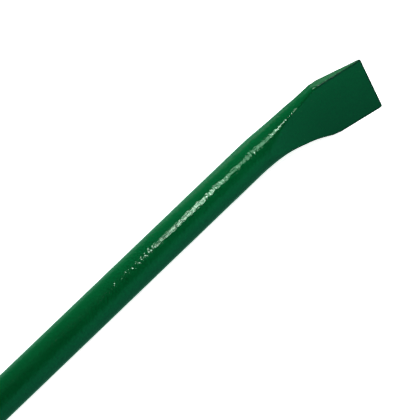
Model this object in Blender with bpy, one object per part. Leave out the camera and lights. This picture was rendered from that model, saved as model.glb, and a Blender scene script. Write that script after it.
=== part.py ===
"""A crowbar: one round steel bar, forged to a cranked chisel at one end and to a point at the other.

The whole bar is a single forging, so it is a single lofted solid. A rounded rectangle is carried along
the bar's centreline, and its width, its thickness and the radius of its edges change on the way. It is a
full circle on the shank, a slab with soft edges at the shoulder of the blade, and a thin crisp rectangle
at the chisel's edge. The finished bar lies as it does on a level floor, on its shank and on one corner
of the blade's heel. Lengths are in metres and angles in radians.
"""

import math

import bmesh
import bpy
from mathutils import Matrix, Vector

NAME = "forged_bar"
COLLECTION = "crowbar"

# The bar as a whole
OVERALL_LENGTH = 1.500
SHANK_DIAMETER = 0.032

# The crank that lifts the chisel out of line with the shank
BEND_ANGLE = math.radians(26.3)
BEND_RADIUS = 0.179

# The chisel, from its shoulder to its edge
BLADE_LENGTH = 0.0496
SHOULDER_WIDTH = 0.0532
SHOULDER_THICKNESS = 0.0120
EDGE_WIDTH = 0.0538
EDGE_THICKNESS = 0.0020
EDGE_CORNER_RADIUS = 0.0020

# The stretch in front of the shoulder, where the round bar is drawn out into the blade
FLARE_LENGTH = 0.066
FLARE_EXPONENT = 2.1
THINNING_LENGTH = 0.0775

# The soft edges that the drawing out leaves, and the crisp ones that trimming the blade leaves
SHOULDER_EDGE_RADIUS = 0.0032
BLADE_EDGE_RADIUS = 0.0009
TRIM_RUN_OUT = 0.008

# The point at the far end
POINT_LENGTH = 0.110
POINT_NOSE_RADIUS = 0.004

# How finely the loft is divided
QUARTER_STEPS = 12
NOSE_STEPS = 5
POINT_STEPS = 3
SHANK_STEPS = 10
TRANSITION_STEPS = 30
TRIM_STEPS = 4
CORNER_STEPS = 5

PAINT_COLOUR = (0.003, 0.090, 0.024, 1.0)
PAINT_ROUGHNESS = 0.22
PAINT_METALLIC = 0.0

# Sizes that follow from those above. Distances along the centreline are counted from the shoulder,
# towards the chisel's edge
SHANK_RADIUS = SHANK_DIAMETER / 2
BEND_START = -BEND_ANGLE * BEND_RADIUS
BLADE_REACH = (
    BEND_RADIUS * math.sin(BEND_ANGLE)
    + BLADE_LENGTH * math.cos(BEND_ANGLE)
    + EDGE_THICKNESS / 2 * math.sin(BEND_ANGLE)
)
STRAIGHT_LENGTH = OVERALL_LENGTH - BLADE_REACH
POINT_TIP = BEND_START - STRAIGHT_LENGTH
POINT_END = POINT_TIP + POINT_LENGTH
FORGING_START = min(BEND_START, -FLARE_LENGTH, -THINNING_LENGTH)
WEDGE_SLOPE = (EDGE_THICKNESS - SHOULDER_THICKNESS) / 2 / BLADE_LENGTH


def spread(start, end, steps):
    """Distances from start to just short of end, evenly spaced."""
    return [start + (end - start) * step / steps for step in range(steps)]


def progress(distance, start, end):
    """How far a distance has come from start to end, held between 0 and 1."""
    return min(max((distance - start) / (end - start), 0.0), 1.0)


def ease(share):
    """A share from 0 to 1 with a soft start and a soft stop."""
    return share * share * (3 - 2 * share)


def nose_and_cone():
    """The point's half-angle, and how far from its tip the round nose runs into the cone."""
    back = POINT_LENGTH - POINT_NOSE_RADIUS
    half_angle = math.atan2(SHANK_RADIUS, back) - math.asin(POINT_NOSE_RADIUS / math.hypot(back, SHANK_RADIUS))
    return half_angle, POINT_NOSE_RADIUS * (1 - math.sin(half_angle))


def point_radius(from_tip):
    """Radius of the point at a distance from its tip: a round nose that runs into a cone."""
    half_angle, tangent = nose_and_cone()
    if from_tip < tangent:
        return math.sqrt(POINT_NOSE_RADIUS ** 2 - (POINT_NOSE_RADIUS - from_tip) ** 2)
    return POINT_NOSE_RADIUS * math.cos(half_angle) + (from_tip - tangent) * math.tan(half_angle)


def flared_half_width(distance):
    """Half the width behind the shoulder: the bar's own radius, then a flare that opens late."""
    share = progress(distance, -FLARE_LENGTH, 0.0)
    return SHANK_RADIUS + (SHOULDER_WIDTH / 2 - SHANK_RADIUS) * share ** FLARE_EXPONENT


def blade_half_width(distance):
    """Half the width of the blade: nearly parallel, and rounded off in the last few millimetres."""
    half = SHOULDER_WIDTH / 2 + (EDGE_WIDTH - SHOULDER_WIDTH) / 2 * distance / BLADE_LENGTH
    into_corner = distance - (BLADE_LENGTH - EDGE_CORNER_RADIUS)
    if into_corner <= 0:
        return half
    return half - EDGE_CORNER_RADIUS + math.sqrt(max(EDGE_CORNER_RADIUS ** 2 - into_corner ** 2, 0.0))


def thinned_half_thickness(distance):
    """Half the thickness behind the shoulder: a curve from the round bar that meets the wedge's slope."""
    share = progress(distance, -THINNING_LENGTH, 0.0)
    slope_part = (share ** 3 - share ** 2) * WEDGE_SLOPE * THINNING_LENGTH
    return SHANK_RADIUS + (SHOULDER_THICKNESS / 2 - SHANK_RADIUS) * ease(share) + slope_part


def thinned_edge_radius(half_thickness):
    """Radius of the edges behind the shoulder, which shrinks in step with the thickness."""
    thin = SHOULDER_THICKNESS / 2
    share = (half_thickness - thin) / (SHANK_RADIUS - thin)
    return SHOULDER_EDGE_RADIUS + (SHANK_RADIUS - SHOULDER_EDGE_RADIUS) * share


def section_sizes(distance):
    """Half the width, half the thickness and the edge radius of the bar at a distance."""
    if distance < POINT_END:
        radius = point_radius(distance - POINT_TIP)
        return radius, radius, radius
    if distance <= 0:
        half_width = flared_half_width(distance)
        half_thickness = thinned_half_thickness(distance)
        radius = thinned_edge_radius(half_thickness)
    else:
        half_width = blade_half_width(distance)
        half_thickness = SHOULDER_THICKNESS / 2 + WEDGE_SLOPE * distance
        trimmed = ease(progress(distance, 0.0, TRIM_RUN_OUT))
        radius = SHOULDER_EDGE_RADIUS + (BLADE_EDGE_RADIUS - SHOULDER_EDGE_RADIUS) * trimmed
        radius = min(radius, 0.9 * half_thickness)
    return half_width, half_thickness, min(radius, half_width, half_thickness)


def centreline(distance):
    """Place and slope of the centreline, with the bend starting at the origin and rising from +X."""
    if distance <= BEND_START:
        return Vector((distance - BEND_START, 0, 0)), 0.0
    slope = min((distance - BEND_START) / BEND_RADIUS, BEND_ANGLE)
    place = Vector((math.sin(slope), 0, 1 - math.cos(slope))) * BEND_RADIUS
    beyond = max(distance, 0.0)
    return place + Vector((math.cos(slope), 0, math.sin(slope))) * beyond, slope


def section_ring(distance):
    """Points of the rounded-rectangle section at a distance, square to the centreline."""
    half_width, half_thickness, radius = section_sizes(distance)
    place, slope = centreline(distance)
    across = Vector((0, 1, 0))
    through = Vector((-math.sin(slope), 0, math.cos(slope)))
    ring = []
    for quarter in range(4):
        side = 1 if quarter in (0, 3) else -1
        face = 1 if quarter in (0, 1) else -1
        for step in range(QUARTER_STEPS):
            angle = math.radians(90) * (quarter + (step + 0.5) / QUARTER_STEPS)
            y = side * (half_width - radius) + radius * math.cos(angle)
            z = face * (half_thickness - radius) + radius * math.sin(angle)
            ring.append(place + across * y + through * z)
    return ring


def station_distances():
    """Where the sections stand, from just behind the point's tip to the chisel's edge."""
    tangent = nose_and_cone()[1]
    quarter = math.radians(90)
    nose = [tangent * (1 - math.cos(quarter * step / NOSE_STEPS)) for step in range(1, NOSE_STEPS)]
    corner_start = BLADE_LENGTH - EDGE_CORNER_RADIUS
    trim_end = min(TRIM_RUN_OUT, corner_start / 2)
    corner = [
        corner_start + EDGE_CORNER_RADIUS * math.sin(quarter * step / CORNER_STEPS)
        for step in range(CORNER_STEPS + 1)
    ]
    return (
        [POINT_TIP + from_tip for from_tip in nose]
        + spread(POINT_TIP + tangent, POINT_END, POINT_STEPS)
        + spread(POINT_END, FORGING_START, SHANK_STEPS)
        + spread(FORGING_START, 0.0, TRANSITION_STEPS)
        + spread(0.0, trim_end, TRIM_STEPS)
        + [trim_end]
        + corner
    )


def loft_bar():
    """The bar as one closed mesh: a skin over all the sections, a tip and a flat end."""
    mesh = bmesh.new()
    rings = [[mesh.verts.new(point) for point in section_ring(at)] for at in station_distances()]
    tip = mesh.verts.new(centreline(POINT_TIP)[0])
    count = 4 * QUARTER_STEPS
    for index in range(count):
        mesh.faces.new((tip, rings[0][index], rings[0][(index + 1) % count]))
    for near, far in zip(rings, rings[1:]):
        for index in range(count):
            following = (index + 1) % count
            mesh.faces.new((near[index], far[index], far[following], near[following]))
    mesh.faces.new(rings[-1])
    bmesh.ops.recalc_face_normals(mesh, faces=mesh.faces)
    return mesh


def resting_roll(points):
    """Turn about the shank's axis that brings the shank and one corner of the heel to the floor.

    Seen along the shank, the floor is a line that touches the shank's circle and one corner of the
    blade. Of the lines through the points on the -Y side, it is the one that all the others lie above.
    """
    contacts = []
    for point in points:
        reach = math.hypot(point.y, point.z)
        if point.y < 0 and point.x > 0 and reach > SHANK_RADIUS:
            bearing = math.atan2(point.z, point.y) % math.tau
            contacts.append(bearing + math.acos(SHANK_RADIUS / reach))
    return -math.radians(90) - max(contacts)


def lay_on_floor(mesh):
    """Roll the bar to the way it rests, and centre it over the origin with the floor at zero."""
    roll = Matrix.Rotation(resting_roll([vertex.co for vertex in mesh.verts]), 3, "X")
    bmesh.ops.rotate(mesh, verts=mesh.verts, cent=(0, 0, 0), matrix=roll)
    low = [min(vertex.co[axis] for vertex in mesh.verts) for axis in range(3)]
    high = [max(vertex.co[axis] for vertex in mesh.verts) for axis in range(3)]
    shift = Vector((-(low[0] + high[0]) / 2, -(low[1] + high[1]) / 2, -low[2]))
    bmesh.ops.translate(mesh, verts=mesh.verts, vec=shift)


def green_paint():
    """Glossy green enamel, sprayed thickly over the forging."""
    material = bpy.data.materials.new("green_paint")
    material.use_nodes = True
    shader = material.node_tree.nodes["Principled BSDF"]
    shader.inputs["Base Color"].default_value = PAINT_COLOUR
    shader.inputs["Roughness"].default_value = PAINT_ROUGHNESS
    shader.inputs["Metallic"].default_value = PAINT_METALLIC
    return material


def clear_scene():
    """Start from an empty scene."""
    for thing in list(bpy.data.objects):
        bpy.data.objects.remove(thing, do_unlink=True)


def main():
    clear_scene()
    collection = bpy.data.collections.new(COLLECTION)
    bpy.context.scene.collection.children.link(collection)
    loft = loft_bar()
    lay_on_floor(loft)
    data = bpy.data.meshes.new(NAME)
    loft.to_mesh(data)
    loft.free()
    data.shade_smooth()
    data.set_sharp_from_angle(angle=math.radians(30))
    data.materials.append(green_paint())
    collection.objects.link(bpy.data.objects.new(NAME, data))


main()
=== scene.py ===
"""Looks of a one-piece crowbar: forged steel under thick green enamel, on a plain pale floor.

The bar is swept along its own centreline by a Geometry Nodes tree, with the section, the crank, the
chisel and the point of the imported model, and with the faint unevenness that a forge leaves. Lengths are
in metres, angles in radians unless a name says degrees.
"""

import logging
import math
from dataclasses import dataclass, field
from enum import Enum

import bpy
from mathutils import Matrix, Quaternion, Vector

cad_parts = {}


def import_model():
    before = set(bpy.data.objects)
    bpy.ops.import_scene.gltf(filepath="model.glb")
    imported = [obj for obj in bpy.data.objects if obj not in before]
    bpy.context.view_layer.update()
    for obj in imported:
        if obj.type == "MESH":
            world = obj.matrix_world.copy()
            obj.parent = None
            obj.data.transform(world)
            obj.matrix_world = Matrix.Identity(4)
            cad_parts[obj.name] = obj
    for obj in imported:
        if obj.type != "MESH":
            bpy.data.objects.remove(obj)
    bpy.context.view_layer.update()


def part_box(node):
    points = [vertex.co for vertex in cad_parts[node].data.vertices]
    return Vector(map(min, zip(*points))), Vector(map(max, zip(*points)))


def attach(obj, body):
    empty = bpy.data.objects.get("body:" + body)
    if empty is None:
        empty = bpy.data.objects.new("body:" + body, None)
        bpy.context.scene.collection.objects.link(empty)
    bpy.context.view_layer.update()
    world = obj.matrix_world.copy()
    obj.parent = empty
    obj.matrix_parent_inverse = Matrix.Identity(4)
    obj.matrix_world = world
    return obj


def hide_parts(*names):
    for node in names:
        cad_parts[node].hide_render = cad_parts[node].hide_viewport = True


LOG = logging.getLogger("crowbar")
BAR_NODE = "forged_bar"
BODY = "root"
FACE_LIGHT_AND_SHADE = "painted_face_light_and_shade"
EDGE_SHADE = "painted_edge_shade"
QUARTER = math.radians(90)


class Zone(Enum):
    """A stretch of the bar, named by what was done to it in the forge."""

    POINT = "drawn to a point"
    SHANK = "left round"
    DRAWN = "flattened, spread and bent"
    BLADE = "ground and trimmed"


class Tree:
    """A node tree under construction, with short calls for adding and linking its nodes."""

    def __init__(self, tree: bpy.types.NodeTree) -> None:
        """Start on the node tree that gets the nodes."""
        self.tree = tree

    def add(self, kind: str, label: str = "", **settings: object) -> bpy.types.Node:
        """Add a node.

        Args:
            kind: The node's type name.
            label: What the node is for.
            **settings: Properties of the node to set.

        Returns:
            The new node.
        """
        node = self.tree.nodes.new(kind)
        node.label = label
        for name, value in settings.items():
            setattr(node, name, value)
        return node

    def feed(self, socket: bpy.types.NodeSocket, source: object) -> None:
        """Give an input its value.

        Args:
            socket: The input.
            source: An output to link, or a plain value to set.
        """
        if isinstance(source, bpy.types.NodeSocket):
            self.tree.links.new(source, socket)
        else:
            socket.default_value = source

    def math(
        self, operation: str, *operands: object, label: str = "", clamp: bool = False,
    ) -> bpy.types.NodeSocket:
        """Add a Math node.

        Args:
            operation: The node's operation.
            *operands: Its one, two or three operands, as outputs or numbers.
            label: What the result is.
            clamp: Whether the result is held between 0 and 1.

        Returns:
            The node's result.
        """
        node = self.add("ShaderNodeMath", label, operation=operation, use_clamp=clamp)
        for socket, operand in zip(node.inputs, operands):
            self.feed(socket, operand)
        return node.outputs[0]

    def span(
        self, value: object, low: object, high: object, to_low: object = 0.0, to_high: object = 1.0,
    ) -> bpy.types.NodeSocket:
        """Map a value softly from one range to another, and hold it there.

        Args:
            value: The value to map.
            low: Where the first range starts.
            high: Where the first range ends.
            to_low: The result at and below low.
            to_high: The result at and above high.

        Returns:
            The mapped value.
        """
        node = self.add("ShaderNodeMapRange", interpolation_type="SMOOTHSTEP", clamp=True)
        for socket, operand in zip(node.inputs, (value, low, high, to_low, to_high)):
            self.feed(socket, operand)
        return node.outputs[0]

    def noise(self, where: object, size: float, detail: float = 2.0) -> bpy.types.NodeSocket:
        """Add a noise texture.

        Args:
            where: The output that holds the coordinates.
            size: The size of its features.
            detail: How many finer layers it has.

        Returns:
            The noise, from 0 to 1.
        """
        node = self.add("ShaderNodeTexNoise")
        self.feed(node.inputs["Vector"], where)
        self.feed(node.inputs["Scale"], 1.0 / size)
        self.feed(node.inputs["Detail"], detail)
        return node.outputs[0]

    def named(self, name: str) -> bpy.types.NodeSocket:
        """Read a value that the geometry carries.

        Args:
            name: The name that it is kept under.

        Returns:
            The value.
        """
        node = self.add("GeometryNodeInputNamedAttribute", name, data_type="FLOAT")
        self.feed(node.inputs["Name"], name)
        return node.outputs["Attribute"]

    def store(self, geometry: bpy.types.NodeSocket, name: str, value: object) -> bpy.types.NodeSocket:
        """Keep a value on every point of a geometry.

        Args:
            geometry: The geometry.
            name: The name that the value is kept under.
            value: The value.

        Returns:
            The geometry with the value.
        """
        node = self.add("GeometryNodeStoreNamedAttribute", name, data_type="FLOAT", domain="POINT")
        for socket, source in (("Geometry", geometry), ("Name", name), ("Value", value)):
            self.feed(node.inputs[socket], source)
        return node.outputs["Geometry"]


@dataclass(frozen=True)
class Enamel:
    """Thick glossy enamel, sprayed over bare forged steel, with the skin of an orange peel.

    It carries painted light and shade: the blade's face is painted lighter towards its upper side and darker
    towards its lower side, and painted shade darkens the trimmed edges and the chisel's end in patches,
    where the paint is also duller. Each contrast says between which values of its noise the paint changes.
    """

    name: str = "green_enamel"
    deep: tuple[float, float, float, float] = (0.0003, 0.088, 0.0208, 1.0)
    light: tuple[float, float, float, float] = (0.0005, 0.094, 0.0226, 1.0)
    roughness: float = 0.06
    roughness_swing: float = 0.02
    cloud_size: float = 0.030
    cloud_detail: float = 3.0
    cloud_contrast: tuple[float, float] = (0.35, 0.65)
    gloss_size: float = 0.010
    gloss_contrast: tuple[float, float] = (0.3, 0.7)
    peel_size: float = 0.0025
    peel_height: float = 0.00036
    peel_detail: float = 1.0
    grain_size: float = 0.0008
    grain_height: float = 0.000006
    grain_detail: float = 0.0
    # Painted light and shade on the blade's face: how far its upper side is lightened and its lower side
    # darkened.
    face_shade_strength: float = 0.45
    # Painted shade: the trimmed edges and the chisel's end are painted a darker green in noisy patches, and
    # made duller.
    shaded_edges: tuple[float, float, float, float] = (0.001, 0.022, 0.009, 1.0)
    shaded_edge_roughness: float = 0.15
    edge_shade_patch_size: float = 0.005
    edge_shade_contrast: tuple[float, float] = (0.35, 0.6)
    least_edge_shade: float = 0.6
    refraction: float = 1.5

    def material(self) -> bpy.types.Material:
        """Make the paint.

        Returns:
            The paint's material.
        """
        material = bpy.data.materials.new(self.name)
        material.use_nodes = True
        tree = Tree(material.node_tree)
        shader = material.node_tree.nodes["Principled BSDF"]
        place = tree.add("ShaderNodeTexCoord", "Place on the bar").outputs["Object"]
        self.colour(tree, shader, place)
        self.skin(tree, shader, place)
        return material

    def colour(self, tree: Tree, shader: bpy.types.Node, place: bpy.types.NodeSocket) -> None:
        """Give the paint its green, with painted light and shade on the blade's face, painted shade on its
        edges and its gloss.

        Args:
            tree: The material's tree.
            shader: The paint's shader.
            place: The coordinates on the bar.
        """
        clouds = tree.noise(place, self.cloud_size, self.cloud_detail)
        mix = tree.add("ShaderNodeMix", "Thick and thin paint", data_type="RGBA")
        tree.feed(mix.inputs["Factor"], tree.span(clouds, *self.cloud_contrast))
        tree.feed(mix.inputs["A"], self.deep)
        tree.feed(mix.inputs["B"], self.light)
        # Painted light and shade on the blade's face: lighter towards its upper side, darker towards its
        # lower side.
        face_light_and_shade = tree.add("ShaderNodeAttribute", "Painted face light and shade", attribute_name=FACE_LIGHT_AND_SHADE).outputs["Fac"]
        depth = tree.add("ShaderNodeVectorMath", "Painted light and shade on the face", operation="SCALE")
        tree.feed(depth.inputs[0], mix.outputs["Result"])
        tree.feed(depth.inputs["Scale"], tree.math("MULTIPLY_ADD", face_light_and_shade, -self.face_shade_strength, 1.0))
        # Painted shade on the trimmed edges and the chisel's end, broken into patches by noise, with duller
        # gloss there.
        edge_shade_amount = tree.add("ShaderNodeAttribute", "Painted edge shade", attribute_name=EDGE_SHADE).outputs["Fac"]
        patches = tree.noise(place, self.edge_shade_patch_size)
        patches = tree.span(patches, *self.edge_shade_contrast, self.least_edge_shade)
        edge_shade_amount = tree.math("MULTIPLY", edge_shade_amount, patches, clamp=True)
        shaded_edges = tree.add("ShaderNodeMix", "Painted shade on the edges", data_type="RGBA")
        tree.feed(shaded_edges.inputs["Factor"], edge_shade_amount)
        tree.feed(shaded_edges.inputs["A"], depth.outputs[0])
        tree.feed(shaded_edges.inputs["B"], self.shaded_edges)
        tree.feed(shader.inputs["Base Color"], shaded_edges.outputs["Result"])
        low, high = self.roughness - self.roughness_swing, self.roughness + self.roughness_swing
        gloss = tree.span(tree.noise(place, self.gloss_size), *self.gloss_contrast, low, high)
        roughness = tree.math("MULTIPLY_ADD", edge_shade_amount, self.shaded_edge_roughness, gloss)
        tree.feed(shader.inputs["Roughness"], roughness)
        tree.feed(shader.inputs["IOR"], self.refraction)

    def skin(self, tree: Tree, shader: bpy.types.Node, place: bpy.types.NodeSocket) -> None:
        """Give the paint its skin: soft orange peel, and a finer grain on top.

        Args:
            tree: The material's tree.
            shader: The paint's shader.
            place: The coordinates on the bar.
        """
        normal = None
        layers = (
            (self.peel_size, self.peel_height, self.peel_detail),
            (self.grain_size, self.grain_height, self.grain_detail),
        )
        for size, height, detail in layers:
            bump = tree.add("ShaderNodeBump")
            tree.feed(bump.inputs["Distance"], height)
            tree.feed(bump.inputs["Height"], tree.noise(place, size, detail))
            if normal is not None:
                tree.feed(bump.inputs["Normal"], normal)
            normal = bump.outputs["Normal"]
        tree.feed(shader.inputs["Normal"], normal)


@dataclass
class Section:
    """The rounded rectangle that the bar has at one place along its centreline.

    Its edges are quarters of an ellipse. Their reach is how far they come over the face, and their depth
    is how far they go down the side.
    """

    half_width: float
    half_thickness: float
    edge_reach: float
    edge_depth: float


@dataclass
class ForgedBar:
    """The whole bar, swept from its point, along its round shank, to the edge of its cranked chisel.

    Distances run along the centreline. They are counted from the blade's shoulder and grow towards
    the chisel's edge. Before the shoulder, four laws shape the bar, each over a length of its own: the
    flare widens it, the thinning makes it flat, the edging tightens its edges over the face, and the
    last stretch gives it flat sides.
    """

    finish: Enamel = field(default_factory=Enamel)

    shank_diameter: float = 0.032

    bend_angle: float = math.radians(26.3)
    bend_radius: float = 0.179

    blade_length: float = 0.0496
    shoulder_width: float = 0.0532
    shoulder_thickness: float = 0.0120
    edge_width: float = 0.0538
    edge_thickness: float = 0.0020
    edge_corner_radius: float = 0.0020
    edge_rounding: float = 0.0006

    flare_length: float = 0.0652
    flare_exponent: float = 2.08
    thinning_length: float = 0.0710
    thinning_end: float = 0.0300
    edging_length: float = 0.0760
    edging_end: float = 0.0250
    side_length: float = 0.020

    shoulder_edge_radius: float = 0.0032
    blade_edge_radius: float = 0.0009
    most_rounding: float = 0.9
    trim_run_out: float = 0.008

    # Painted shade on the trimmed edges and the chisel's end.
    edge_shade_reach: float = 0.0020
    shaded_end: float = 0.0022
    edge_shade_rise: float = 3.0
    # Painted light and shade on the blade's face, over its last stretch before the shoulder.
    face_shade_length: float = 0.050
    face_shade_balance: float = 0.38

    point_length: float = 0.110
    point_nose_radius: float = 0.004

    points_around: int = 144
    least_arc_share: float = 0.008
    shank_step: float = 0.004
    drawn_step: float = 0.001
    blade_step: float = 0.0008
    corner_steps: int = 8
    crisp_angle: float = math.radians(50)

    shank_ripple: float = 0.00003
    worked_ripple: float = 0.00016
    fully_worked: float = 1 / 3
    ripple_size: float = 0.016
    ripple_detail: float = 1.5
    ripple_seed: float = 8.0

    def __post_init__(self) -> None:
        """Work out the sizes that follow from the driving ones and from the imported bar's length."""
        low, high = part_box(BAR_NODE)
        self.low, self.high = low, high
        self.radius = self.shank_diameter / 2
        self.bend_start = -self.bend_angle * self.bend_radius
        reach = (
            self.bend_radius * math.sin(self.bend_angle)
            + self.blade_length * math.cos(self.bend_angle)
            + self.edge_thickness / 2 * math.sin(self.bend_angle)
        )
        self.tip = self.bend_start - (high.x - low.x - reach)
        self.point_end = self.tip + self.point_length
        longest = max(self.flare_length, self.thinning_length, self.edging_length)
        self.drawn_start = min(self.bend_start, -longest)
        self.wedge_slope = (self.edge_thickness - self.shoulder_thickness) / 2 / self.blade_length
        back = self.point_length - self.point_nose_radius
        lean = math.asin(self.point_nose_radius / math.hypot(back, self.radius))
        self.cone_angle = math.atan2(self.radius, back) - lean
        self.nose_length = self.point_nose_radius * (1 - math.sin(self.cone_angle))

    def zone(self, distance: float) -> Zone:
        """Find the zone that a distance lies in.

        Args:
            distance: The distance.

        Returns:
            The zone.
        """
        if distance < self.point_end:
            return Zone.POINT
        if distance < self.drawn_start:
            return Zone.SHANK
        return Zone.DRAWN if distance <= 0 else Zone.BLADE

    @staticmethod
    def progress(distance: float, start: float, end: float) -> float:
        """Return how far a distance has come from start to end, held between 0 and 1."""
        return min(max((distance - start) / (end - start), 0.0), 1.0)

    @staticmethod
    def ease(share: float) -> float:
        """Return a share from 0 to 1 with a soft start and a soft stop."""
        return share * share * (3 - 2 * share)

    def point_section(self, distance: float) -> Section:
        """Work out the section of the point: a round nose that runs into a cone.

        Args:
            distance: Where the section stands.

        Returns:
            The section there.
        """
        from_tip = distance - self.tip
        nose = self.point_nose_radius
        if from_tip < self.nose_length:
            radius = math.sqrt(nose ** 2 - (nose - from_tip) ** 2)
        else:
            radius = nose * math.cos(self.cone_angle)
            radius += (from_tip - self.nose_length) * math.tan(self.cone_angle)
        return Section(radius, radius, radius, radius)

    def drawn_section(self, distance: float) -> Section:
        """Work out the section where the round bar widens and thins towards the shoulder.

        Args:
            distance: Where the section stands.

        Returns:
            The section there.
        """
        flare = self.progress(distance, -self.flare_length, 0.0) ** self.flare_exponent
        half_width = self.radius + (self.shoulder_width / 2 - self.radius) * flare
        half_thickness = self.drawn_half_thickness(distance)
        edged = self.ease(self.progress(distance, -self.edging_length, -self.edging_end))
        edge_reach = self.radius + (self.shoulder_edge_radius - self.radius) * edged
        flattened = self.ease(self.progress(distance, -self.side_length, 0.0))
        edge_depth = half_thickness + (self.shoulder_edge_radius - half_thickness) * flattened
        return Section(half_width, half_thickness, min(edge_reach, half_width), edge_depth)

    def drawn_half_thickness(self, distance: float) -> float:
        """Work out half the thickness where the bar thins: it meets the blade's wedge without a kink.

        Args:
            distance: Where on the bar.

        Returns:
            Half the thickness there.
        """
        length = self.thinning_length - self.thinning_end
        share = self.progress(distance, -self.thinning_length, -self.thinning_end)
        thin = self.shoulder_thickness / 2 - self.wedge_slope * self.thinning_end
        into_wedge = (share ** 3 - share ** 2) * self.wedge_slope * length
        thinned = self.radius + (thin - self.radius) * self.ease(share) + into_wedge
        return thinned + self.wedge_slope * max(distance + self.thinning_end, 0.0)

    def blade_section(self, distance: float) -> Section:
        """Work out the section of the blade: a wedge with crisp edges, rounded off at its very end.

        Args:
            distance: Where the section stands.

        Returns:
            The section there.
        """
        wider = (self.edge_width - self.shoulder_width) * distance / self.blade_length
        half_width = (self.shoulder_width + wider) / 2 - self.worn_off(distance, self.edge_corner_radius)
        half_thickness = self.shoulder_thickness / 2 + self.wedge_slope * distance
        half_thickness -= self.worn_off(distance, self.edge_rounding)
        crisper = (self.blade_edge_radius - self.shoulder_edge_radius) * self.trimmed(distance)
        edge_radius = min(self.shoulder_edge_radius + crisper, self.most_rounding * half_thickness)
        return Section(half_width, half_thickness, edge_radius, edge_radius)

    def worn_off(self, distance: float, radius: float) -> float:
        """Return how much a rounding of the blade's end takes off one side at a distance."""
        into = min(max(distance - (self.blade_length - radius), 0.0), radius)
        return radius - math.sqrt(radius ** 2 - into ** 2)

    def section(self, distance: float) -> Section:
        """Work out the bar's section.

        Args:
            distance: Where the section stands.

        Returns:
            The section there.
        """
        zone = self.zone(distance)
        if zone is Zone.POINT:
            return self.point_section(distance)
        if zone is Zone.SHANK:
            return Section(self.radius, self.radius, self.radius, self.radius)
        return self.drawn_section(distance) if zone is Zone.DRAWN else self.blade_section(distance)

    def centreline(self, distance: float) -> tuple[Vector, float]:
        """Follow the centreline, with the bend starting at the origin and rising from +X.

        Args:
            distance: How far along it.

        Returns:
            The place there, and the centreline's slope.
        """
        if distance <= self.bend_start:
            return Vector((distance - self.bend_start, 0, 0)), 0.0
        slope = min((distance - self.bend_start) / self.bend_radius, self.bend_angle)
        place = Vector((math.sin(slope), 0, 1 - math.cos(slope))) * self.bend_radius
        return place + Vector((math.cos(slope), 0, math.sin(slope))) * max(distance, 0.0), slope

    def ripple(self, distance: float) -> float:
        """Work out how deep the forge's unevenness is: faint on the rolled shank, deeper where worked.

        Args:
            distance: Where on the bar.

        Returns:
            The depth there.
        """
        worked_end = self.drawn_start * self.fully_worked
        near_blade = self.ease(self.progress(distance, self.drawn_start, worked_end))
        near_point = 1 - self.ease(self.progress(distance, self.tip, self.point_end))
        worked = max(near_blade, near_point)
        return self.shank_ripple + (self.worked_ripple - self.shank_ripple) * worked

    def trimmed(self, distance: float) -> float:
        """Return how crisp the edges are trimmed: not at all on the forged bar, fully on the blade."""
        return self.ease(self.progress(distance, 0.0, self.trim_run_out))

    def face_shade_spread(self, distance: float) -> float:
        """Return how far the painted light and shade has spread over the face: fully on the blade."""
        return self.ease(self.progress(distance, -self.face_shade_length, 0.0))

    def end_shading(self, distance: float) -> float:
        """Return how much painted shade darkens the chisel's end, fully so in the last half of the stretch.
        """
        start = self.blade_length - self.shaded_end
        return self.ease(self.progress(distance, start, start + self.shaded_end / 2))

    def stations(self) -> list[float]:
        """List the places of the sections, close together where the shape changes fast.

        Returns:
            The distances, from the point's tip to the chisel's edge.
        """
        def evenly(start: float, end: float, step: float) -> list[float]:
            """Return distances from start to just short of end."""
            count = max(round((end - start) / step), 1)
            return [start + (end - start) * index / count for index in range(count)]

        turns = [QUARTER * index / self.corner_steps for index in range(self.corner_steps + 1)]
        nose = [self.tip + self.nose_length * (1 - math.cos(turn)) for turn in turns[1:-1]]
        nose_end = self.tip + self.nose_length
        corner_start = self.blade_length - self.edge_corner_radius
        corner = [corner_start + self.edge_corner_radius * math.sin(turn) for turn in turns]
        return (
            nose
            + evenly(nose_end, self.point_end, self.shank_step)
            + evenly(self.point_end, self.drawn_start, self.shank_step)
            + evenly(self.drawn_start, 0.0, self.drawn_step)
            + evenly(0.0, corner_start, self.blade_step)
            + corner
        )

    def guide(self) -> bpy.types.Object:
        """Make the centreline as a chain of points that carry the section's sizes.

        Returns:
            The guide, which is not part of the bar.
        """
        stations = self.stations()
        sections = [self.section(distance) for distance in stations]
        line = [self.centreline(distance) for distance in stations]
        mesh = bpy.data.meshes.new("centreline")
        mesh.from_pydata([place for place, _ in line], [(i, i + 1) for i in range(len(line) - 1)], [])
        columns = {
            "half_width": [section.half_width for section in sections],
            "half_thickness": [section.half_thickness for section in sections],
            "edge_reach": [section.edge_reach for section in sections],
            "edge_depth": [section.edge_depth for section in sections],
            "slope": [slope for _, slope in line],
            "ripple": [self.ripple(distance) for distance in stations],
            "trimmed": [self.trimmed(distance) for distance in stations],
            "shaded_end": [self.end_shading(distance) for distance in stations],
            "spread": [self.face_shade_spread(distance) for distance in stations],
        }
        for name, values in columns.items():
            mesh.attributes.new(name, "FLOAT", "POINT").data.foreach_set("value", values)
        guide = bpy.data.objects.new("centreline", mesh)
        bpy.context.scene.collection.objects.link(guide)
        return guide

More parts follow.
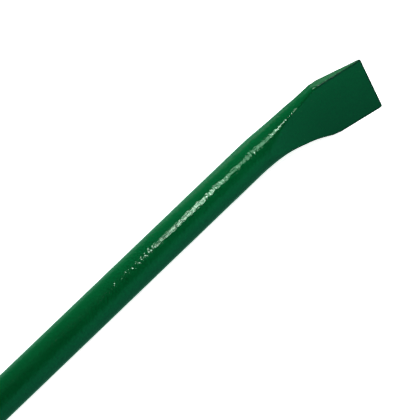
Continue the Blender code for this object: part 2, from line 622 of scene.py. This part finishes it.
    def sweep_tree(self, material: bpy.types.Material) -> bpy.types.NodeTree:
        """Build the tree that sweeps the section along the guide.

        Args:
            material: The finish of the swept bar.

        Returns:
            The tree, with its sizes as named inputs.
        """
        group = bpy.data.node_groups.new("section_sweep", "GeometryNodeTree")
        inputs = (
            ("Guide", "NodeSocketGeometry", None),
            ("Points Around", "NodeSocketInt", self.points_around),
            ("Least Arc Share", "NodeSocketFloat", self.least_arc_share),
            ("Ripple Size", "NodeSocketFloat", self.ripple_size),
            ("Ripple Detail", "NodeSocketFloat", self.ripple_detail),
            ("Ripple Seed", "NodeSocketFloat", self.ripple_seed),
            ("Face Shade Balance", "NodeSocketFloat", self.face_shade_balance),
            ("Edge Shade Rise", "NodeSocketFloat", self.edge_shade_rise),
            ("Edge Shade Reach", "NodeSocketFloat", self.edge_shade_reach),
            ("Crisp Angle", "NodeSocketFloat", self.crisp_angle),
            ("Finish", "NodeSocketMaterial", material),
        )
        for name, kind, value in inputs:
            socket = group.interface.new_socket(name, in_out="INPUT", socket_type=kind)
            if value is not None:
                socket.default_value = value
        group.interface.new_socket("Bar", in_out="OUTPUT", socket_type="NodeSocketGeometry")
        tree = Tree(group)
        given = tree.add("NodeGroupInput")
        skin, turn, centre = self.sweep_skin(tree, given)
        shaped, on_arc, past, width = self.shape_section(tree, given, skin, turn, centre)
        marked = self.mark_paint(tree, given, shaped, on_arc, past, width)
        dented = self.add_ripple(tree, given, marked)
        self.finish_tree(tree, given, dented)
        return group

    @staticmethod
    def sweep_skin(tree: Tree, given: bpy.types.Node) -> tuple[bpy.types.NodeSocket, ...]:
        """Sweep a unit circle along the guide, and remember where each point came from.

        Args:
            tree: The tree under construction.
            given: Its group input.

        Returns:
            The swept skin, each point's turn round the section from 0 to 1, and its centre.
        """
        line = tree.add("GeometryNodeMeshToCurve")
        tree.feed(line.inputs["Mesh"], given.outputs["Guide"])
        centre = tree.add("GeometryNodeCaptureAttribute", "Centre", domain="POINT")
        centre.capture_items.new("VECTOR", "Centre")
        tree.feed(centre.inputs["Geometry"], line.outputs["Curve"])
        tree.feed(centre.inputs["Centre"], tree.add("GeometryNodeInputPosition").outputs[0])
        circle = tree.add("GeometryNodeCurvePrimitiveCircle", mode="RADIUS")
        tree.feed(circle.inputs["Resolution"], given.outputs["Points Around"])
        tree.feed(circle.inputs["Radius"], 1.0)
        turn = tree.add("GeometryNodeCaptureAttribute", "Turn", domain="POINT")
        turn.capture_items.new("FLOAT", "Turn")
        tree.feed(turn.inputs["Geometry"], circle.outputs["Curve"])
        tree.feed(turn.inputs["Turn"], tree.add("GeometryNodeSplineParameter").outputs["Factor"])
        skin = tree.add("GeometryNodeCurveToMesh")
        tree.feed(skin.inputs["Curve"], centre.outputs["Geometry"])
        tree.feed(skin.inputs["Profile Curve"], turn.outputs["Geometry"])
        tree.feed(skin.inputs["Fill Caps"], True)
        return skin.outputs["Mesh"], turn.outputs["Turn"], centre.outputs["Centre"]

    @staticmethod
    def shape_section(
        tree: Tree,
        given: bpy.types.Node,
        skin: bpy.types.NodeSocket,
        turn: bpy.types.NodeSocket,
        centre: bpy.types.NodeSocket,
    ) -> tuple[bpy.types.NodeSocket, ...]:
        """Move each point of the skin onto the rounded rectangle of its section.

        Each quarter runs from the middle of a side, round the edge, to the middle of a face. The edge
        gets at least its share of the points, however small its radius.

        Args:
            tree: The tree under construction.
            given: Its group input.
            skin: The swept skin.
            turn: Each point's turn round the section.
            centre: Each point's centre.

        Returns:
            The shaped skin, and of each point how far it is round the edge, how far past it on the face,
            and its place across the width.
        """
        edge, edge_depth = tree.named("edge_reach"), tree.named("edge_depth")
        side = tree.math("SUBTRACT", tree.named("half_thickness"), edge_depth, label="Flat half of the side")
        face = tree.math("SUBTRACT", tree.named("half_width"), edge, label="Flat half of the face")
        arc_scale = tree.math("MAXIMUM", edge, given.outputs["Least Arc Share"])
        arc = tree.math("MULTIPLY", arc_scale, QUARTER)

        angle = tree.math("MULTIPLY", turn, math.tau)
        across, upward = tree.math("COSINE", angle), tree.math("SINE", angle)
        quarters = tree.math("MULTIPLY", turn, 4.0)
        to_and_fro = tree.math("PINGPONG", quarters, 1.0, label="Share of the quarter")
        total = tree.math("ADD", tree.math("ADD", side, arc), face)
        walked = tree.math("MULTIPLY", to_and_fro, total)

        on_arc = tree.math("DIVIDE", tree.math("SUBTRACT", walked, side), arc, clamp=True)
        bend = tree.math("MULTIPLY", on_arc, QUARTER)
        rise = tree.math("MINIMUM", walked, side)
        rise = tree.math("ADD", rise, tree.math("MULTIPLY", edge_depth, tree.math("SINE", bend)))
        past = tree.math("MAXIMUM", tree.math("SUBTRACT", walked, tree.math("ADD", side, arc)), 0.0)
        reach = tree.math("SUBTRACT", face, past)
        reach = tree.math("ADD", reach, tree.math("MULTIPLY", edge, tree.math("COSINE", bend)))
        width = tree.math("MULTIPLY", reach, tree.math("SIGN", across))
        depth = tree.math("MULTIPLY", rise, tree.math("SIGN", upward))

        slope = tree.named("slope")
        lean = tree.math("MULTIPLY", tree.math("MULTIPLY", depth, tree.math("SINE", slope)), -1.0)
        lift = tree.math("MULTIPLY", depth, tree.math("COSINE", slope))
        offset = tree.add("ShaderNodeCombineXYZ", "From the centreline")
        for socket, value in zip(offset.inputs, (lean, width, lift)):
            tree.feed(socket, value)
        place = tree.add("ShaderNodeVectorMath", operation="ADD")
        tree.feed(place.inputs[0], centre)
        tree.feed(place.inputs[1], offset.outputs[0])
        moved = tree.add("GeometryNodeSetPosition")
        tree.feed(moved.inputs["Geometry"], skin)
        tree.feed(moved.inputs["Position"], place.outputs[0])
        return moved.outputs["Geometry"], on_arc, past, width

    @staticmethod
    def mark_paint(
        tree: Tree,
        given: bpy.types.Node,
        shaped: bpy.types.NodeSocket,
        on_arc: bpy.types.NodeSocket,
        past: bpy.types.NodeSocket,
        width: bpy.types.NodeSocket,
    ) -> bpy.types.NodeSocket:
        """Mark the painted light and shade on the blade's face, lighter towards its upper side and darker
        towards its lower side, and the painted shade on its edges and at the chisel's end.

        Args:
            tree: The tree under construction.
            given: Its group input.
            shaped: The shaped skin.
            on_arc: How far round the edge each point is, from 0 at the side to 1 at the face.
            past: How far past the edge each point is, on the face.
            width: Each point's place across the width.

        Returns:
            The marked skin.
        """
        # Painted light and shade across the face: lighter towards the upper side, darker towards the lower
        # side.
        across = tree.math("DIVIDE", width, tree.named("half_width"))
        lower = tree.math("MULTIPLY_ADD", across, -0.5, 0.5, label="Towards the lower side")
        down = tree.math("SUBTRACT", lower, given.outputs["Face Shade Balance"])
        on_face = tree.math("MULTIPLY", on_arc, tree.named("spread"))
        marked = tree.store(shaped, FACE_LIGHT_AND_SHADE, tree.math("MULTIPLY", down, on_face))
        # Painted shade on the edge arcs next to the face where the blade is trimmed, and at the chisel's
        # end.
        edge_shading = tree.math("MULTIPLY", on_arc, given.outputs["Edge Shade Rise"], clamp=True)
        near_edge = tree.span(past, 0.0, given.outputs["Edge Shade Reach"], 1.0, 0.0)
        edge_shading = tree.math("MULTIPLY", edge_shading, near_edge)
        edge_shading = tree.math("MULTIPLY", edge_shading, tree.named("trimmed"))
        return tree.store(marked, EDGE_SHADE, tree.math("MAXIMUM", edge_shading, tree.named("shaded_end")))

    @staticmethod
    def add_ripple(tree: Tree, given: bpy.types.Node, shaped: bpy.types.NodeSocket) -> bpy.types.NodeSocket:
        """Sink the skin here and there, as hammer and rollers leave it. Nothing is raised.

        Args:
            tree: The tree under construction.
            given: Its group input.
            shaped: The shaped skin.

        Returns:
            The uneven skin.
        """
        noise = tree.add("ShaderNodeTexNoise", "Unevenness", noise_dimensions="4D")
        tree.feed(noise.inputs["W"], given.outputs["Ripple Seed"])
        tree.feed(noise.inputs["Scale"], tree.math("DIVIDE", 1.0, given.outputs["Ripple Size"]))
        tree.feed(noise.inputs["Detail"], given.outputs["Ripple Detail"])
        sink = tree.math("MULTIPLY", noise.outputs[0], tree.named("ripple"))
        inward = tree.add("ShaderNodeVectorMath", operation="SCALE")
        tree.feed(inward.inputs[0], tree.add("GeometryNodeInputNormal").outputs[0])
        tree.feed(inward.inputs["Scale"], tree.math("MULTIPLY", sink, -1.0))
        moved = tree.add("GeometryNodeSetPosition")
        tree.feed(moved.inputs["Geometry"], shaped)
        tree.feed(moved.inputs["Offset"], inward.outputs[0])
        return moved.outputs["Geometry"]

    @staticmethod
    def finish_tree(tree: Tree, given: bpy.types.Node, skin: bpy.types.NodeSocket) -> None:
        """Shade the skin smooth but for its corners, and give it its finish.

        Args:
            tree: The tree under construction.
            given: Its group input.
            skin: The finished shape.
        """
        smooth = tree.add("GeometryNodeSetShadeSmooth", domain="FACE")
        tree.feed(smooth.inputs["Geometry"], skin)
        tree.feed(smooth.inputs["Shade Smooth"], True)
        folded = tree.add("GeometryNodeInputMeshEdgeAngle").outputs[0]
        corner = tree.math("GREATER_THAN", folded, given.outputs["Crisp Angle"])
        crisp = tree.add("GeometryNodeSetShadeSmooth", domain="EDGE")
        tree.feed(crisp.inputs["Geometry"], smooth.outputs["Geometry"])
        tree.feed(crisp.inputs["Selection"], corner)
        tree.feed(crisp.inputs["Shade Smooth"], False)
        real = tree.add("GeometryNodeRealizeInstances")
        tree.feed(real.inputs["Geometry"], crisp.outputs["Geometry"])
        painted = tree.add("GeometryNodeSetMaterial")
        tree.feed(painted.inputs["Geometry"], real.outputs["Geometry"])
        tree.feed(painted.inputs["Material"], given.outputs["Finish"])
        made = tree.add("NodeGroupOutput")
        tree.feed(made.inputs["Bar"], painted.outputs["Geometry"])

    def swept_mesh(self) -> bpy.types.Mesh:
        """Run the sweep and keep its result as a plain mesh.

        Returns:
            The bar's mesh, with the bend's start at the origin.
        """
        guide = self.guide()
        material = self.finish.material()
        modifier = guide.modifiers.new("sweep", "NODES")
        modifier.node_group = self.sweep_tree(material)
        evaluated = guide.evaluated_get(bpy.context.evaluated_depsgraph_get())
        mesh = bpy.data.meshes.new_from_object(evaluated)
        guide.modifiers.remove(modifier)
        for column in [found.name for found in guide.data.attributes if found.data_type == "FLOAT"]:
            mesh.attributes.remove(mesh.attributes[column])
        bpy.data.objects.remove(guide)
        mesh.name = "crowbar_skin"
        return mesh

    def lay_down(self, mesh: bpy.types.Mesh) -> None:
        """Turn the mesh to the way the bar rests, on its shank and one corner of the heel.

        Seen along the shank, the floor touches the shank's circle and the one corner of the blade that
        all the others lie above.

        Args:
            mesh: The bar's mesh, still level with its own centreline.
        """
        contacts = []
        for vertex in mesh.vertices:
            reach = math.hypot(vertex.co.y, vertex.co.z)
            if vertex.co.x > 0 > vertex.co.y and reach > self.radius:
                bearing = math.atan2(vertex.co.z, vertex.co.y) % math.tau
                contacts.append(bearing + math.acos(self.radius / reach))
        mesh.transform(Matrix.Rotation(-QUARTER - max(contacts), 4, "X"))
        highest_x = max(vertex.co.x for vertex in mesh.vertices)
        lowest_y = min(vertex.co.y for vertex in mesh.vertices)
        shift = Vector((self.high.x - highest_x, self.low.y - lowest_y, self.radius))
        mesh.transform(Matrix.Translation(shift))
        mesh.update()

    def build(self) -> bpy.types.Object:
        """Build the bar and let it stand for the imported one.

        Returns:
            The bar.
        """
        mesh = self.swept_mesh()
        self.lay_down(mesh)
        bar = bpy.data.objects.new("crowbar", mesh)
        bpy.context.scene.collection.objects.link(bar)
        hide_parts(BAR_NODE)
        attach(bar, BODY)
        return bar


class Reach(Enum):
    """What a light acts on: the paint's own colour, or only its gloss."""

    COLOUR = "colour"
    GLOSS = "gloss"


@dataclass(frozen=True)
class Softbox:
    """A rectangular studio light, out of the camera's sight.

    Its length runs along the bar, and its brightness is that of its surface, whatever its size.
    """

    name: str
    reach: Reach
    place: tuple[float, float, float]
    aim: tuple[float, float, float]
    length: float
    width: float
    brightness: float
    colour: tuple[float, float, float] = (1.0, 1.0, 1.0)

    def build(self) -> bpy.types.Object:
        """Hang the light.

        Returns:
            The light.
        """
        lamp = bpy.data.lights.new(self.name, "AREA")
        lamp.shape = "RECTANGLE"
        lamp.size, lamp.size_y = self.length, self.width
        lamp.energy, lamp.color = self.brightness * math.pi * self.length * self.width, self.colour
        light = bpy.data.objects.new(self.name, lamp)
        light.location = self.place
        backward = (Vector(self.place) - Vector(self.aim)).normalized()
        across = backward.cross(Vector((1, 0, 0))).normalized()
        turn = Matrix((across.cross(backward), across, backward)).transposed()
        light.rotation_euler = turn.to_euler()
        light.visible_camera = False
        light.visible_diffuse = self.reach is Reach.COLOUR
        light.visible_glossy = self.reach is Reach.GLOSS
        bpy.context.scene.collection.objects.link(light)
        return light


@dataclass(frozen=True)
class Wall:
    """The room on one side of the bar, as its gloss mirrors it.

    Each colour lies at a height, from -1 under the floor to 1 overhead. The heights are those of the
    four colours between the first and the last.
    """

    floor_level: tuple[float, float, float]
    table_level: tuple[float, float, float]
    low: tuple[float, float, float]
    middle: tuple[float, float, float]
    high: tuple[float, float, float]
    overhead: tuple[float, float, float]
    heights: tuple[float, float, float, float]

    def ramp(self, tree: Tree, height: bpy.types.NodeSocket) -> bpy.types.NodeSocket:
        """Blend the wall's colours over its height.

        Args:
            tree: The room's tree.
            height: The height in the room, here from 0 under the floor to 1 overhead.

        Returns:
            The wall's colour.
        """
        node = tree.add("ShaderNodeValToRGB", "Wall")
        tree.feed(node.inputs["Fac"], height)
        stops = node.color_ramp.elements
        colours = (self.floor_level, self.table_level, self.low, self.middle, self.high, self.overhead)
        places = (-1.0, *self.heights, 1.0)
        while len(stops) < len(colours):
            stops.new(0.5)
        for stop, place, colour in zip(stops, places, colours):
            stop.position = (place + 1) / 2
            stop.color = (*colour, 1.0)
        return node.outputs["Color"]


@dataclass(frozen=True)
class Studio:
    """The floor, the lights round the bar, the dim room they stand in and the camera."""

    azimuth_degrees: float = -48.943
    elevation_degrees: float = 53.834
    roll_degrees: float = -0.975
    camera_distance: float = 14.932
    aim: tuple[float, float, float] = (0.5653, 0.0087, 0.0160)
    lens_mm: float = 1474.1
    sensor_mm: float = 36.0
    clip: tuple[float, float] = (1.0, 100.0)

    floor_side: float = 60.0
    floor_white: float = 0.9
    floor_glow: float = 0.93

    wall_blend: float = 0.3
    front: Wall = Wall(
        floor_level=(0.055, 0.28, 0.18),
        table_level=(0.057, 0.57, 0.35),
        low=(0.058, 0.62, 0.35),
        middle=(0.042, 0.42, 0.24),
        high=(0.000, 0.02, 0.01),
        overhead=(0.015, 0.04, 0.03),
        heights=(-0.20, 0.20, 0.41, 0.62),
    )
    back: Wall = Wall(
        floor_level=(0.210, 0.57, 0.36),
        table_level=(0.205, 0.60, 0.42),
        low=(0.100, 0.40, 0.26),
        middle=(0.034, 0.28, 0.13),
        high=(0.022, 0.22, 0.12),
        overhead=(0.043, 0.25, 0.12),
        heights=(-0.14, 0.10, 0.27, 0.50),
    )

    lights: tuple[Softbox, ...] = (
        Softbox(
            "key", Reach.GLOSS, place=(0.671, 0.022, 0.30), aim=(0.5545, 0.016, 0.016),
            length=0.028, width=0.110, brightness=29.0, colour=(0.72, 1.0, 0.80),
        ),
        Softbox(
            "key_side", Reach.GLOSS, place=(0.717, 0.022, 0.30), aim=(0.6005, 0.016, 0.016),
            length=0.050, width=0.110, brightness=6.4, colour=(0.50, 1.0, 0.66),
        ),
        Softbox(
            "key_end", Reach.GLOSS, place=(0.765, 0.022, 0.30), aim=(0.6485, 0.016, 0.016),
            length=0.046, width=0.110, brightness=4.0, colour=(0.50, 1.0, 0.66),
        ),
        Softbox(
            "back_fill", Reach.COLOUR, place=(0.6, 3.0, 0.8), aim=(0.6, 0.016, 0.016),
            length=1.0, width=1.0, brightness=28.0,
        ),
        Softbox(
            "front_fill", Reach.COLOUR, place=(0.6, -3.0, 0.8), aim=(0.6, 0.016, 0.016),
            length=1.0, width=1.0, brightness=6.4,
        ),
        Softbox(
            "end_fill", Reach.COLOUR, place=(3.6, 0.0, 0.8), aim=(0.6, 0.016, 0.016),
            length=1.0, width=1.0, brightness=30.0,
        ),
        Softbox(
            "blade_lamp", Reach.COLOUR, place=(0.70, 0.0, 0.50), aim=(0.6, 0.016, 0.016),
            length=0.2, width=0.2, brightness=10.4,
        ),
        Softbox(
            "back_card", Reach.GLOSS, place=(0.997, 0.563, 0.112), aim=(0.73, 0.03, 0.045),
            length=0.30, width=0.20, brightness=0.33,
        ),
    )

    def build(self) -> None:
        """Set up the floor, the room, the lights and the camera."""
        self.floor()
        self.room()
        for light in self.lights:
            light.build()
        self.camera()
        bpy.context.scene.view_settings.view_transform = "Standard"

    def floor(self) -> None:
        """Lay a plain pale floor that the bar's gloss doesn't mirror."""
        half = self.floor_side / 2
        corners = [(-half, -half, 0), (half, -half, 0), (half, half, 0), (-half, half, 0)]
        mesh = bpy.data.meshes.new("floor")
        mesh.from_pydata(corners, [], [(0, 1, 2, 3)])
        material = bpy.data.materials.new("pale_floor")
        material.use_nodes = True
        shader = material.node_tree.nodes["Principled BSDF"]
        shader.inputs["Base Color"].default_value = (self.floor_white,) * 3 + (1.0,)
        shader.inputs["Roughness"].default_value = 1.0
        shader.inputs["Specular IOR Level"].default_value = 0.0
        shader.inputs["Emission Color"].default_value = (1.0, 1.0, 1.0, 1.0)
        shader.inputs["Emission Strength"].default_value = self.floor_glow
        mesh.materials.append(material)
        floor = bpy.data.objects.new("floor", mesh)
        bpy.context.scene.collection.objects.link(floor)
        floor.visible_glossy = False
        floor.visible_diffuse = False

    def room(self) -> None:
        """Surround the set with a dim room for the gloss to mirror, pale behind the floor."""
        world = bpy.data.worlds.new("studio_room")
        world.use_nodes = True
        bpy.context.scene.world = world
        world.cycles_visibility.diffuse = False
        tree = Tree(world.node_tree)
        mirrored = world.node_tree.nodes["Background"]
        out = world.node_tree.nodes["World Output"]
        direction = tree.add("ShaderNodeSeparateXYZ", "Direction")
        tree.feed(direction.inputs[0], tree.add("ShaderNodeTexCoord").outputs["Generated"])
        height = tree.math("MULTIPLY_ADD", direction.outputs["Z"], 0.5, 0.5, label="Height")
        walls = tree.add("ShaderNodeMix", "Front and back", data_type="RGBA")
        side = tree.span(direction.outputs["Y"], -self.wall_blend, self.wall_blend)
        tree.feed(walls.inputs["Factor"], side)
        tree.feed(walls.inputs["A"], self.front.ramp(tree, height))
        tree.feed(walls.inputs["B"], self.back.ramp(tree, height))
        tree.feed(mirrored.inputs["Color"], walls.outputs["Result"])
        pale = tree.add("ShaderNodeBackground", "Behind the floor")
        tree.feed(pale.inputs["Color"], (1.0, 1.0, 1.0, 1.0))
        mix = tree.add("ShaderNodeMixShader")
        tree.feed(mix.inputs[0], tree.add("ShaderNodeLightPath").outputs["Is Camera Ray"])
        tree.feed(mix.inputs[1], mirrored.outputs[0])
        tree.feed(mix.inputs[2], pale.outputs[0])
        tree.feed(out.inputs["Surface"], mix.outputs[0])

    def camera(self) -> None:
        """Place the long lens that looks down on the blade end of the bar."""
        azimuth, elevation = math.radians(self.azimuth_degrees), math.radians(self.elevation_degrees)
        back = Vector((
            math.sin(azimuth) * math.cos(elevation),
            -math.cos(azimuth) * math.cos(elevation),
            math.sin(elevation),
        ))
        data = bpy.data.cameras.new("camera")
        data.lens, data.sensor_width = self.lens_mm, self.sensor_mm
        data.clip_start, data.clip_end = self.clip
        camera = bpy.data.objects.new("camera", data)
        camera.rotation_mode = "QUATERNION"
        camera.location = Vector(self.aim) + back * self.camera_distance
        roll = Quaternion((0, 0, 1), math.radians(self.roll_degrees))
        camera.rotation_quaternion = (-back).to_track_quat("-Z", "Y") @ roll
        bpy.context.scene.collection.objects.link(camera)
        bpy.context.scene.camera = camera


def main() -> None:
    """Build the bar and the studio, and report what was made."""
    logging.basicConfig(level=logging.INFO, format="%(name)s: %(message)s")
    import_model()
    bar = ForgedBar().build()
    LOG.info("%s: %d faces, in %s", bar.name, len(bar.data.polygons), bar.data.materials[0].name)
    studio = Studio()
    studio.build()
    LOG.info("studio: %d lights and a floor", len(studio.lights))


if __name__ == "__main__":
    main()
